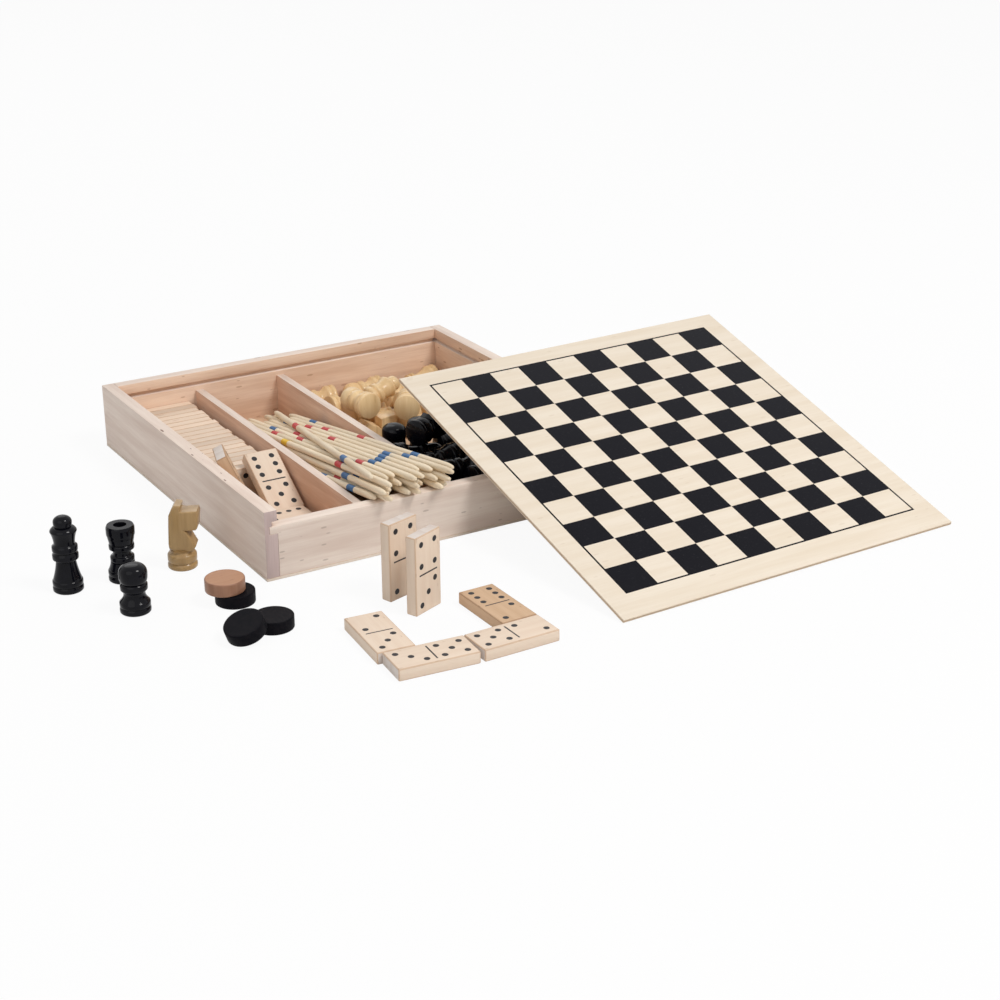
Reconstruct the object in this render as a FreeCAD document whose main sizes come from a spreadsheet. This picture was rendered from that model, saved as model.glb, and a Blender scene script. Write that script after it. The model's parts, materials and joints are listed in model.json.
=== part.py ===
"""Games compendium box: a beech case with a sliding board lid, dominoes, sticks, draughts and chess men.

Units are millimetres and degrees. The origin is the centre of the case's underside, with +X to the right,
+Y to the back and +Z up. The lid lies taken off, leaning on the front of the right side.
"""
import FreeCAD
import Part
import Sketcher
import math
import os

# Driving sizes
SIZES = (
    # Case
    ("box_width", 230.0),
    ("box_depth", 230.0),
    ("box_height", 38.3),
    ("wall_thickness", 7.2),
    ("bottom_thickness", 1.5),
    ("groove_rim", 6.0),
    ("groove_height", 2.6),
    ("groove_depth", 3.0),
    ("tongue_depth", 4.4),
    ("tongue_height", 4.0),
    ("divider_thickness", 5.0),
    ("divider_drop", 2.6),
    ("bay_play", 7.4),
    # Lid with the board, and how it leans
    ("lid_thickness", 2.0),
    ("lid_play", 0.8),
    ("lid_headroom", 0.2),
    ("lid_setback", 3.0),
    ("lid_corner_radius", 1.5),
    ("lid_foot_start", 127.3),
    ("lid_foot_reach", 133.6),
    ("lid_turn", 2.0),
    # Dominoes
    ("domino_length", 41.5),
    ("domino_width", 19.6),
    ("domino_thickness", 6.2),
    ("domino_edge_radius", 0.6),
    # Draughts
    ("draught_diameter", 20.2),
    ("draught_thickness", 6.6),
    ("draught_edge_radius", 0.5),
    # Pick-up sticks
    ("stick_length", 190.0),
    ("stick_diameter", 3.6),
    ("stick_tip_diameter", 2.2),
    ("stick_taper", 7.0),
    # Chess men
    ("foot_radius", 7.8),
    ("foot_height", 6.0),
    ("pawn_body_height", 5.5),
    ("pawn_waist_radius", 5.4),
    ("pawn_collar_radius", 6.8),
    ("pawn_collar_height", 4.0),
    ("pawn_head_radius", 7.1),
    ("pawn_head_height", 11.0),
    ("bishop_body_height", 9.5),
    ("bishop_waist_radius", 4.6),
    ("bishop_collar_radius", 6.3),
    ("bishop_collar_height", 5.0),
    ("bishop_head_radius", 5.2),
    ("bishop_head_height", 13.0),
    ("queen_body_height", 10.5),
    ("queen_waist_radius", 5.0),
    ("queen_collar_radius", 6.6),
    ("queen_collar_height", 8.5),
    ("queen_crown_seat_radius", 5.4),
    ("queen_crown_radius", 6.8),
    ("queen_crown_height", 8.5),
    ("queen_dome_radius", 4.8),
    ("king_body_height", 11.5),
    ("king_waist_radius", 5.2),
    ("king_collar_radius", 6.8),
    ("king_collar_height", 8.5),
    ("king_crown_seat_radius", 5.4),
    ("king_crown_radius", 7.0),
    ("king_crown_height", 11.5),
    ("king_dome_radius", 5.2),
    ("rook_shoulder_height", 5.5),
    ("rook_shoulder_radius", 6.2),
    ("rook_neck_height", 4.5),
    ("rook_neck_radius", 4.7),
    ("rook_flare_height", 3.2),
    ("rook_cup_seat_radius", 6.6),
    ("rook_cup_radius", 7.3),
    ("rook_cup_height", 11.0),
    ("rook_hole_radius", 3.3),
    ("rook_hole_depth", 3.0),
    ("knight_disc_height", 4.2),
    ("knight_groove_radius", 5.8),
    ("knight_head_height", 26.0),
    ("knight_head_length", 16.4),
    ("knight_head_thickness", 10.4),
    # Clearance between loose pieces that lie against each other
    ("rest_gap", 0.15),
)

# Sizes that follow from the driving ones
DERIVED = (
    ("inner_width", "=box_width - 2 * wall_thickness"),
    ("inner_depth", "=box_depth - 2 * wall_thickness"),
    ("side_height", "=box_height - bottom_thickness"),
    ("groove_floor", "=box_height - groove_rim - groove_height"),
    ("front_top", "=groove_floor - lid_headroom"),
    ("divider_top", "=groove_floor - divider_drop"),
    ("bay_width", "=domino_length + bay_play"),
    ("right_bay_start", "=2 * (bay_width + divider_thickness) - inner_width / 2"),
    ("lid_width", "=inner_width + 2 * groove_depth - 2 * lid_play"),
    ("lid_length", "=box_depth - wall_thickness + groove_depth - lid_play - lid_setback"),
)

doc = FreeCAD.newDocument("games_compendium")
sheet = doc.addObject("Spreadsheet::Sheet", "sizes")
for row, (alias, value) in enumerate(SIZES + DERIVED, start=1):
    sheet.set(f"A{row}", alias)
    sheet.set(f"B{row}", str(value))
    sheet.setAlias(f"B{row}", alias)
doc.recompute()

nodes = []


def size(alias):
    """A size's number, for the pieces that are placed by calculation."""
    return float(sheet.get(alias))


def table_spot(right, back, up=0.0):
    """A spot on the table, set out from the case's front left corner."""
    return FreeCAD.Vector(right - size("box_width") / 2, back - size("box_depth") / 2, up)


def bind(piece, expressions):
    """Tie properties of a piece to the sheet."""
    for name, expression in expressions.items():
        piece.setExpression(name, expression)


def seat(piece, x, y, z):
    """Tie a piece's place to the sheet."""
    bind(piece, {"Placement.Base.x": x, "Placement.Base.y": y, "Placement.Base.z": z})


def block(body, name, kind, corner, extent):
    """Add or cut a square block: its low corner and its extent along X, Y and Z are expressions."""
    base_plane = next(part for part in body.Origin.OriginFeatures if part.Role == "XY_Plane")
    sketch = body.newObject("Sketcher::SketchObject", f"{name}_outline")
    sketch.AttachmentSupport = [(base_plane, "")]
    sketch.MapMode = "FlatFace"
    sketch.setExpression("AttachmentOffset.Base.z", corner[2])
    points = [FreeCAD.Vector(x, y, 0) for x, y in ((1, 1), (2, 1), (2, 2), (1, 2))]
    for start, end in zip(points, points[1:] + points[:1]):
        sketch.addGeometry(Part.LineSegment(start, end))
    for line in range(4):
        sketch.addConstraint(Sketcher.Constraint("Coincident", line, 2, (line + 1) % 4, 1))
        sketch.addConstraint(Sketcher.Constraint(("Horizontal", "Vertical")[line % 2], line))
    measures = (
        ("left", Sketcher.Constraint("DistanceX", -1, 1, 0, 1, 1.0), corner[0]),
        ("front", Sketcher.Constraint("DistanceY", -1, 1, 0, 1, 1.0), corner[1]),
        ("width", Sketcher.Constraint("DistanceX", 0, 1, 0, 2, 1.0), extent[0]),
        ("depth", Sketcher.Constraint("DistanceY", 1, 1, 1, 2, 1.0), extent[1]),
    )
    for label, constraint, expression in measures:
        number = sketch.addConstraint(constraint)
        sketch.renameConstraint(number, label)
        sketch.setExpression(f"Constraints.{label}", expression)
    feature = body.newObject(f"PartDesign::{kind}", name)
    feature.Profile = sketch
    feature.Reversed = kind == "Pocket"
    feature.setExpression("Length", extent[2])
    doc.recompute()
    return feature


def new_body(label):
    """A body for one piece."""
    body = doc.addObject("PartDesign::Body", label)
    body.Label = label
    return body


def round_edges(body, base, edges, radius):
    """Round some edges of a body's last feature."""
    fillet = body.newObject("PartDesign::Fillet", f"{body.Name}_rounding")
    fillet.Base = (base, edges)
    fillet.setExpression("Radius", radius)
    doc.recompute()


def group(label, master, placements):
    """A node of one or more copies of a master piece."""
    links = []
    for number, placement in enumerate(placements, start=1):
        link = doc.addObject("App::Link", f"{label}_{number}")
        link.LinkedObject = master
        link.Placement = placement
        links.append(link)
    compound = doc.addObject("Part::Compound", label)
    compound.Label = label
    compound.Links = links
    nodes.append(compound)


# Case

def side(label, outer_x, groove_x, tongue_x):
    """A full-depth side with the lid's groove, open at the front, and the socket of the front wall's tongue."""
    body = new_body(label)
    block(body, f"{label}_board", "Pad", ("0", "0", "0"),
          ("sizes.wall_thickness", "sizes.box_depth", "sizes.side_height"))
    groove_run = "sizes.box_depth - sizes.wall_thickness + sizes.groove_depth"
    groove_low = "sizes.groove_floor - sizes.bottom_thickness"
    block(body, f"{label}_groove", "Pocket", (groove_x, "0", groove_low),
          ("sizes.groove_depth", groove_run, "sizes.groove_height"))
    block(body, f"{label}_socket", "Pocket", (tongue_x, "0", f"sizes.front_top - sizes.bottom_thickness"
          " - sizes.tongue_height"),
          ("sizes.tongue_depth", "sizes.wall_thickness", "sizes.tongue_height + sizes.lid_headroom"))
    seat(body, outer_x, "-sizes.box_depth / 2", "sizes.bottom_thickness")
    nodes.append(body)


side("left_side", "-sizes.box_width / 2", "sizes.wall_thickness - sizes.groove_depth",
     "sizes.wall_thickness - sizes.tongue_depth")
side("right_side", "sizes.box_width / 2 - sizes.wall_thickness", "0", "0")

back_wall = new_body("back_wall")
block(back_wall, "back_board", "Pad", ("0", "0", "0"),
      ("sizes.inner_width", "sizes.wall_thickness", "sizes.side_height"))
block(back_wall, "back_groove", "Pocket", ("0", "0", "sizes.groove_floor - sizes.bottom_thickness"),
      ("sizes.inner_width", "sizes.groove_depth", "sizes.groove_height"))
seat(back_wall, "-sizes.inner_width / 2", "sizes.inner_depth / 2", "sizes.bottom_thickness")
nodes.append(back_wall)

# The front wall is low enough for the lid to pass over, and a tongue at each top end keys it to the sides
front_wall = new_body("front_wall")
block(front_wall, "front_board", "Pad", ("sizes.tongue_depth", "0", "0"),
      ("sizes.inner_width", "sizes.wall_thickness", "sizes.front_top - sizes.bottom_thickness"))
block(front_wall, "front_tongues", "Pad",
      ("0", "0", "sizes.front_top - sizes.bottom_thickness - sizes.tongue_height"),
      ("sizes.inner_width + 2 * sizes.tongue_depth", "sizes.wall_thickness", "sizes.tongue_height"))
seat(front_wall, "-sizes.inner_width / 2 - sizes.tongue_depth", "-sizes.box_depth / 2",
     "sizes.bottom_thickness")
nodes.append(front_wall)

bottom_panel = new_body("bottom_panel")
block(bottom_panel, "bottom_board", "Pad", ("0", "0", "0"),
      ("sizes.box_width", "sizes.box_depth", "sizes.bottom_thickness"))
seat(bottom_panel, "-sizes.box_width / 2", "-sizes.box_depth / 2", "0")
nodes.append(bottom_panel)

dividers = (
    ("left_divider", "-sizes.inner_width / 2 + sizes.bay_width"),
    ("right_divider", "sizes.right_bay_start - sizes.divider_thickness"),
)
for divider_label, divider_x in dividers:
    divider = new_body(divider_label)
    block(divider, f"{divider_label}_board", "Pad", ("0", "0", "0"),
          ("sizes.divider_thickness", "sizes.inner_depth", "sizes.divider_top - sizes.bottom_thickness"))
    seat(divider, divider_x, "-sizes.inner_depth / 2", "sizes.bottom_thickness")
    nodes.append(divider)

# Lid: its lower edge stands on the table and its underside leans on the right side's front top edge
lid_board = new_body("lid_board")
lid_pad = block(lid_board, "lid_sheet", "Pad", ("0", "0", "0"),
                ("sizes.lid_width", "sizes.lid_length", "sizes.lid_thickness"))
upright_edges = [
    f"Edge{number}" for number, edge in enumerate(lid_pad.Shape.Edges, start=1)
    if abs(edge.tangentAt(edge.FirstParameter).z) > 0.5
]
round_edges(lid_board, lid_pad, upright_edges, "sizes.lid_corner_radius")

UP = FreeCAD.Vector(0, 0, 1)
ACROSS = FreeCAD.Vector(1, 0, 0)
turned = FreeCAD.Rotation(UP, size("lid_turn"))
lid_foot = table_spot(size("lid_foot_start"), -size("lid_foot_reach"))
up_slope = turned.multVec(FreeCAD.Vector(0, 1, 0))
lid_tilt = 0.0
for edge_x in (size("box_width") / 2 - size("wall_thickness"), size("box_width") / 2):
    rest_edge = FreeCAD.Vector(edge_x, -size("box_depth") / 2, 0)
    run = (rest_edge - lid_foot).dot(up_slope)
    lid_tilt = max(lid_tilt, math.degrees(math.atan2(size("box_height") + size("rest_gap"), run)))
lid_board.Placement = FreeCAD.Placement(lid_foot, turned * FreeCAD.Rotation(ACROSS, lid_tilt))
nodes.append(lid_board)

# Dominoes

domino = new_body("domino")
domino_pad = block(domino, "domino_tile", "Pad", ("-sizes.domino_width / 2", "-sizes.domino_length / 2", "0"),
                   ("sizes.domino_width", "sizes.domino_length", "sizes.domino_thickness"))
round_edges(domino, domino_pad, [f"Edge{number}" for number in range(1, 13)], "sizes.domino_edge_radius")

tile_length = size("domino_length")
tile_width = size("domino_width")
tile_thickness = size("domino_thickness")
rest_gap = size("rest_gap")
floor = size("bottom_thickness")
bay_left = -size("inner_width") / 2
back_inner = size("inner_depth") / 2


def rotation(*turns):
    """Turns about X, Y or Z, the first one made first."""
    whole = FreeCAD.Rotation()
    for axis, angle in turns:
        whole = FreeCAD.Rotation(FreeCAD.Vector(*(float(axis == name) for name in "XYZ")), angle) * whole
    return whole


def flat_tile(x, y, z, turn):
    """A tile lying face up with its length along Y before the turn."""
    return FreeCAD.Placement(FreeCAD.Vector(x, y, z), rotation(("Z", turn)))


def standing_tile(corner, turn):
    """A tile on its short end whose face looks to the front, by its front left corner."""
    upright = FreeCAD.Vector(tile_width / 2, tile_thickness, tile_length / 2)
    turning = rotation(("Z", turn))
    return FreeCAD.Placement(corner + turning.multVec(upright), turning * rotation(("X", 90)))


group("domino_four_three", domino, [standing_tile(table_spot(45.2, -75.4), 23.0)])
group("domino_four_two", domino, [standing_tile(table_spot(42.2, -54.2), 17.5)])

# Four tiles laid as a bent train: each next one starts from the end of the one before
TRAIN_TURN = -5.0
BEND_TURN = 0.8
START_OVERHANG = 2.4
train_turning = rotation(("Z", TRAIN_TURN))
bend_turning = rotation(("Z", BEND_TURN))
train_centre = table_spot(27.3, -122.6)
branch = tile_width / 2 + 2 * rest_gap + tile_length / 2
corner_room = tile_width / 2 * math.tan(math.radians(BEND_TURN - TRAIN_TURN)) + 2 * rest_gap
start_centre = train_centre + train_turning.multVec(
    FreeCAD.Vector((tile_width - tile_length) / 2 - START_OVERHANG, branch, 0))
bend_centre = (train_centre + train_turning.multVec(FreeCAD.Vector(tile_length / 2, 0, 0))
               + bend_turning.multVec(FreeCAD.Vector(corner_room + tile_length / 2, 0, 0)))
last_centre = bend_centre + bend_turning.multVec(
    FreeCAD.Vector((tile_length - tile_width) / 2, branch, 0))
group("domino_two_three", domino, [flat_tile(start_centre.x, start_centre.y, 0, TRAIN_TURN)])
group("domino_three_five", domino, [flat_tile(train_centre.x, train_centre.y, 0, TRAIN_TURN + 90)])
group("domino_five_two", domino, [flat_tile(bend_centre.x, bend_centre.y, 0, BEND_TURN + 90)])
group("domino_six_two", domino, [flat_tile(last_centre.x, last_centre.y, 0, BEND_TURN)])

# A row of tiles on their long edges, packed from the back of the left bay
ROW_COUNT = 19
row_pitch = tile_thickness + rest_gap
row_slack = size("bay_width") - tile_length
row_placements = []
for number in range(ROW_COUNT):
    shift = row_slack * (0.35 + 0.1 * math.sin(2.3 * number))
    centre = FreeCAD.Vector(bay_left + tile_length / 2 + shift,
                            back_inner - rest_gap - number * row_pitch,
                            floor + tile_width / 2)
    row_placements.append(FreeCAD.Placement(centre, rotation(("Z", 90), ("X", 90))))
group("domino_row", domino, row_placements)
row_front = back_inner - rest_gap - ROW_COUNT * row_pitch + rest_gap

# One tile leans face up on the row's front top edge and one lies flat before it
LEAN_RUN = 31.0
TILE_X = 37.0
lean_angle = math.degrees(math.atan2(tile_width + rest_gap, LEAN_RUN))
lean_turning = rotation(("X", lean_angle))
lean_foot = FreeCAD.Vector(bay_left + TILE_X, row_front - LEAN_RUN, floor + rest_gap)
lean_centre = lean_foot + lean_turning.multVec(FreeCAD.Vector(0, tile_length / 2, 0))
group("domino_six_five", domino, [FreeCAD.Placement(lean_centre, lean_turning)])
foot_reach = tile_thickness * math.sin(math.radians(lean_angle)) + 2 * rest_gap
flat_y = row_front - LEAN_RUN - foot_reach - tile_width / 2
group("domino_six_one", domino,
      [flat_tile(bay_left + row_slack / 2 + tile_length / 2, flat_y, floor, 90)])

# One tile stands on its end before the row and leans on the left side
STANDING_X = 18.1
STANDING_Y = 22.6
STANDING_LEAN = 23.5
STANDING_TURN = -17.0
standing_turning = rotation(("X", 90), ("Z", 90), ("Y", -STANDING_LEAN), ("Z", STANDING_TURN))
standing_foot = FreeCAD.Vector(bay_left + STANDING_X, row_front - STANDING_Y, floor + rest_gap)
standing_centre = standing_foot + standing_turning.multVec(FreeCAD.Vector(0, tile_length / 2, 0))
group("domino_three_one", domino, [FreeCAD.Placement(standing_centre, standing_turning)])

# Pick-up sticks


def cylinder(name, radius, height, base="0"):
    """A cylinder on the Z axis, with expressions for its sizes."""
    piece = doc.addObject("Part::Cylinder", name)
    bind(piece, {"Radius": radius, "Height": height, "Placement.Base.z": base})
    return piece


def cone(name, low_radius, high_radius, height, base="0"):
    """A cone on the Z axis, with expressions for its sizes."""
    piece = doc.addObject("Part::Cone", name)
    bind(piece, {"Radius1": low_radius, "Radius2": high_radius, "Height": height, "Placement.Base.z": base})
    return piece


def fuse(name, pieces):
    """Join primitives into one solid."""
    whole = doc.addObject("Part::MultiFuse", name)
    whole.Shapes = pieces
    whole.Refine = True
    return whole


stick_shank = "sizes.stick_length - 2 * sizes.stick_taper"
stick = fuse("stick", [
    cone("stick_back_tip", "sizes.stick_tip_diameter / 2", "sizes.stick_diameter / 2", "sizes.stick_taper"),
    cylinder("stick_shank", "sizes.stick_diameter / 2", stick_shank, "sizes.stick_taper"),
    cone("stick_front_tip", "sizes.stick_diameter / 2", "sizes.stick_tip_diameter / 2", "sizes.stick_taper",
         "sizes.stick_length - sizes.stick_taper"),
])

# The sticks lie in layers that slope up from the floor of the middle bay over the front wall. In each layer
# they fan out from back to front: count, and the shares of the bay's clear width at the first and last stick
STICK_LAYERS = (
    (11, (0.01, 0.99), (0.01, 0.99)),
    (10, (0.20, 0.99), (0.06, 0.99)),
    (9, (0.18, 0.86), (0.12, 1.02)),
    (1, (0.70, 0.70), (0.02, 0.02)),
)
STICK_REACH_IN = 192.0
STICK_STAGGER = 10.0
stick_radius = size("stick_diameter") / 2
middle_left = bay_left + size("bay_width") + size("divider_thickness")
fan_left = middle_left + stick_radius + rest_gap
fan_width = size("bay_width") - 2 * (stick_radius + rest_gap)
front_inner = -size("inner_depth") / 2
fan_back = front_inner + STICK_REACH_IN
slope = math.atan2(size("front_top") - floor, STICK_REACH_IN)
layer_rise = (size("stick_diameter") + rest_gap) / math.cos(slope)
stick_run = size("stick_length") * math.cos(slope)
first_axis_height = floor + (stick_radius + rest_gap) / math.cos(slope)


def stick_placement(layer, back_share, front_share, stagger):
    """A stick in a sloping layer, from its back end to its front end, slid forwards by the stagger."""
    level = first_axis_height + layer * layer_rise
    back = FreeCAD.Vector(fan_left + back_share * fan_width, fan_back, level)
    along = FreeCAD.Vector((front_share - back_share) * fan_width, -stick_run, stick_run * math.tan(slope))
    return FreeCAD.Placement(back + along * (stagger / along.Length), FreeCAD.Rotation(UP, along))


stick_placements = []
for layer, (count, back_shares, front_shares) in enumerate(STICK_LAYERS):
    for number in range(count):
        share = number / max(count - 1, 1)
        stick_placements.append(stick_placement(
            layer,
            back_shares[0] + share * (back_shares[1] - back_shares[0]),
            front_shares[0] + share * (front_shares[1] - front_shares[0]),
            STICK_STAGGER * (1 + math.sin(1.7 * number + layer))))

# Ranks are dealt out over the bundle from the top layer down
STICK_RANKS = (("stick_mikado", 1), ("sticks_mandarin", 5), ("sticks_bonze", 5), ("sticks_samurai", 5),
               ("sticks_coolie", 15))
stick_order = sorted(range(len(stick_placements)), key=lambda number: (number * 11) % len(stick_placements))
first_stick = 0
for rank_label, rank_count in STICK_RANKS:
    chosen = stick_order[first_stick:first_stick + rank_count]
    group(rank_label, stick, [stick_placements[number] for number in chosen])
    first_stick += rank_count

# Draughts

draught_blank = cylinder("draught_blank", "sizes.draught_diameter / 2", "sizes.draught_thickness")
doc.recompute()
draught = doc.addObject("Part::Fillet", "draught")
draught.Base = draught_blank
edge_radius = size("draught_edge_radius")
draught.Edges = [(number, edge_radius, edge_radius) for number, edge in enumerate(draught_blank.Shape.Edges, 1)
                 if edge.Closed]

disc_radius = size("draught_diameter") / 2
disc_thickness = size("draught_thickness")


def flat_disc(spot):
    """A draught lying flat."""
    return FreeCAD.Placement(spot, rotation())


flat_spot = table_spot(-18.8, -48.5)
group("draught_black_under", draught, [flat_disc(table_spot(-23.0, -12.4))])
group("draught_natural_upper", draught, [flat_disc(table_spot(-27.2, -10.2, disc_thickness + rest_gap))])
group("draught_black_flat", draught, [flat_disc(flat_spot)])

# A disc leans on the flat one's top edge, with its own rim on the table
LEAN_WAY = 200.0
LEAN_OVERLAP = 2.0
disc_lean = math.degrees(math.asin(disc_thickness / (2 * disc_radius - LEAN_OVERLAP)))
lean_axis = rotation(("Y", disc_lean), ("Z", LEAN_WAY))
rim_drop = disc_radius * math.sin(math.radians(disc_lean))
lean_shift = disc_radius * (1 + math.cos(math.radians(disc_lean))) - LEAN_OVERLAP
lean_spot = flat_spot + rotation(("Z", LEAN_WAY)).multVec(FreeCAD.Vector(lean_shift, 0, 0))
lean_spot.z = rim_drop + rest_gap
group("draught_black_leaning", draught, [FreeCAD.Placement(lean_spot, lean_axis)])

# The other draughts lie in the front half of the right bay: blacks flat under the black men, naturals in stacks
# along the right side with the last blacks on top
DISC_ROWS = 4
DISC_STACKS = 5
NATURAL_COUNT = 19
BLACK_COUNT = 17
bay_start = size("right_bay_start")
bay_end = size("inner_width") / 2
right_bay_width = bay_end - bay_start
disc_pitch = size("draught_diameter") + 3 * rest_gap
disc_rise = disc_thickness + rest_gap
disc_columns = int(right_bay_width // disc_pitch) - 1
column_width = (right_bay_width - disc_pitch) / disc_columns
first_disc_y = front_inner + disc_radius + rest_gap
flat_spots = [FreeCAD.Vector(bay_start + (column + 0.5) * column_width, first_disc_y + row * disc_pitch, floor)
              for column in range(disc_columns) for row in range(DISC_ROWS)]
stacked_count = NATURAL_COUNT + BLACK_COUNT - len(flat_spots)
stack_spots = [FreeCAD.Vector(bay_end - disc_radius - rest_gap, first_disc_y + number % DISC_STACKS * disc_pitch,
                              floor + number // DISC_STACKS * disc_rise) for number in range(stacked_count)]
natural_discs = [flat_disc(spot) for spot in stack_spots[:NATURAL_COUNT]]
black_discs = [flat_disc(spot) for spot in flat_spots + stack_spots[NATURAL_COUNT:]]
group("draughts_natural", draught, natural_discs)
group("draughts_black", draught, black_discs)

# Chess men: turned from the foot up


def foot(name):
    """The foot that every man stands on."""
    return cylinder(f"{name}_foot", "sizes.foot_radius", "sizes.foot_height")


def headed_man(name):
    """A pawn or a bishop: foot, tapered body, collar and a rounded head."""
    body_top = f"sizes.foot_height + sizes.{name}_body_height"
    collar_top = f"{body_top} + sizes.{name}_collar_height"
    head = doc.addObject("Part::Ellipsoid", f"{name}_head")
    bind(head, {
        "Radius1": f"sizes.{name}_head_height / 2",
        "Radius2": f"sizes.{name}_head_radius",
        "Radius3": f"sizes.{name}_head_radius",
        "Placement.Base.z": f"{collar_top} + 0.42 * sizes.{name}_head_height",
    })
    return fuse(name, [
        foot(name),
        cone(f"{name}_body", "sizes.foot_radius", f"sizes.{name}_waist_radius", f"sizes.{name}_body_height",
             "sizes.foot_height"),
        cylinder(f"{name}_collar", f"sizes.{name}_collar_radius", f"sizes.{name}_collar_height", body_top),
        head,
    ])


def crowned_man(name):
    """A queen or a king: foot, tapered body, collar, flared crown and a dome."""
    body_top = f"sizes.foot_height + sizes.{name}_body_height"
    collar_top = f"{body_top} + sizes.{name}_collar_height"
    crown_top = f"{collar_top} + sizes.{name}_crown_height"
    dome = doc.addObject("Part::Sphere", f"{name}_dome")
    bind(dome, {"Radius": f"sizes.{name}_dome_radius",
                "Placement.Base.z": f"{crown_top} + 0.45 * sizes.{name}_dome_radius"})
    return fuse(name, [
        foot(name),
        cone(f"{name}_body", "sizes.foot_radius", f"sizes.{name}_waist_radius", f"sizes.{name}_body_height",
             "sizes.foot_height"),
        cylinder(f"{name}_collar", f"sizes.{name}_collar_radius", f"sizes.{name}_collar_height", body_top),
        cone(f"{name}_crown", f"sizes.{name}_crown_seat_radius", f"sizes.{name}_crown_radius",
             f"sizes.{name}_crown_height", collar_top),
        dome,
    ])


def castle():
    """The rook: foot, shoulder, neck and a cup with a hole in its top."""
    shoulder_top = "sizes.foot_height + sizes.rook_shoulder_height"
    neck_top = f"{shoulder_top} + sizes.rook_neck_height"
    flare_top = f"{neck_top} + sizes.rook_flare_height"
    cup_top = f"{flare_top} + sizes.rook_cup_height"
    turned_rook = fuse("rook_turning", [
        foot("rook"),
        cone("rook_shoulder", "sizes.foot_radius", "sizes.rook_shoulder_radius", "sizes.rook_shoulder_height",
             "sizes.foot_height"),
        cylinder("rook_neck", "sizes.rook_neck_radius", "sizes.rook_neck_height", shoulder_top),
        cone("rook_flare", "sizes.rook_neck_radius", "sizes.rook_cup_seat_radius", "sizes.rook_flare_height",
             neck_top),
        cone("rook_cup", "sizes.rook_cup_seat_radius", "sizes.rook_cup_radius", "sizes.rook_cup_height",
             flare_top),
    ])
    whole = doc.addObject("Part::Cut", "rook")
    whole.Base = turned_rook
    whole.Tool = cylinder("rook_hole", "sizes.rook_hole_radius", "sizes.rook_hole_depth",
                          f"{cup_top} - sizes.rook_hole_depth")
    return whole


def horse():
    """The knight: two discs, a groove and a flat carved head in profile, its muzzle towards +X."""
    groove_top = size("foot_height") + size("knight_disc_height")
    long = size("knight_head_length")
    tall = size("knight_head_height")
    outline = (
        (-0.20, 0.00), (-0.36, 0.08), (-0.37, 0.16), (-0.33, 0.54), (-0.31, 0.77), (-0.21, 0.91), (-0.11, 1.00),
        (0.10, 0.98), (0.06, 0.86), (0.13, 0.85), (0.59, 0.87), (0.63, 0.79), (0.58, 0.50), (0.52, 0.45),
        (0.17, 0.44), (0.25, 0.40), (0.50, 0.10), (0.40, 0.00),
    )
    corners = [FreeCAD.Vector(x * long, -size("knight_head_thickness") / 2, groove_top + z * tall)
               for x, z in outline]
    face = Part.Face(Part.makePolygon(corners + corners[:1]))
    head = doc.addObject("Part::Feature", "knight_head")
    head.Shape = face.extrude(FreeCAD.Vector(0, size("knight_head_thickness"), 0))
    return fuse("knight", [
        foot("knight"),
        cylinder("knight_groove", "sizes.knight_groove_radius", "sizes.knight_disc_height", "sizes.foot_height"),
        head,
    ])


MEN = {
    "pawn": headed_man("pawn"),
    "bishop": headed_man("bishop"),
    "queen": crowned_man("queen"),
    "king": crowned_man("king"),
    "rook": castle(),
    "knight": horse(),
}
doc.recompute()
man_height = {name: man.Shape.BoundBox.ZMax for name, man in MEN.items()}
foot_radius = size("foot_radius")
foot_height = size("foot_height")

# Where each man's upper part touches when it lies on its side: height above the foot, and radius there
collar_of = {name: foot_height + size(f"{name}_body_height") + size(f"{name}_collar_height")
             for name in ("pawn", "bishop", "queen", "king")}
touch = {
    "pawn": (collar_of["pawn"] + 0.42 * size("pawn_head_height"), size("pawn_head_radius")),
    "bishop": (collar_of["bishop"], size("bishop_collar_radius")),
    "queen": (collar_of["queen"] + size("queen_crown_height"), size("queen_crown_radius")),
    "king": (collar_of["king"] + size("king_crown_height"), size("king_crown_radius")),
    "rook": (man_height["rook"], size("rook_cup_radius")),
    "knight": (man_height["knight"], foot_radius),
}


def upright_man(spot, turn=0.0):
    """A man on its foot."""
    return FreeCAD.Placement(spot, rotation(("Z", turn)))


def lying_man(name, x, y, z, turn, rise=0.0):
    """A man on its side on a level z, its middle at x, y, its head along the turn and raised by the rise."""
    head_at, head_radius = touch[name]
    nod = math.atan2(foot_radius - head_radius, head_at - foot_height)
    lift = foot_radius * math.cos(nod) + foot_height * math.sin(nod)
    roll = 180.0 if name == "knight" else 0.0
    pointing = rotation(("Z", roll), ("Y", 90 + math.degrees(nod) - rise), ("Z", turn))
    back_off = rotation(("Z", turn)).multVec(FreeCAD.Vector(-man_height[name] / 2, 0, 0))
    return FreeCAD.Placement(FreeCAD.Vector(x, y, z + lift) + back_off, pointing)


group("black_queen", MEN["queen"], [upright_man(table_spot(-89.0, 45.2))])
group("black_rook", MEN["rook"], [upright_man(table_spot(-60.5, 42.4))])
group("black_pawn", MEN["pawn"], [upright_man(table_spot(-69.3, 3.5))])
group("natural_knight", MEN["knight"], [upright_man(table_spot(-28.7, 41.5), -31.0)])

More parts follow.
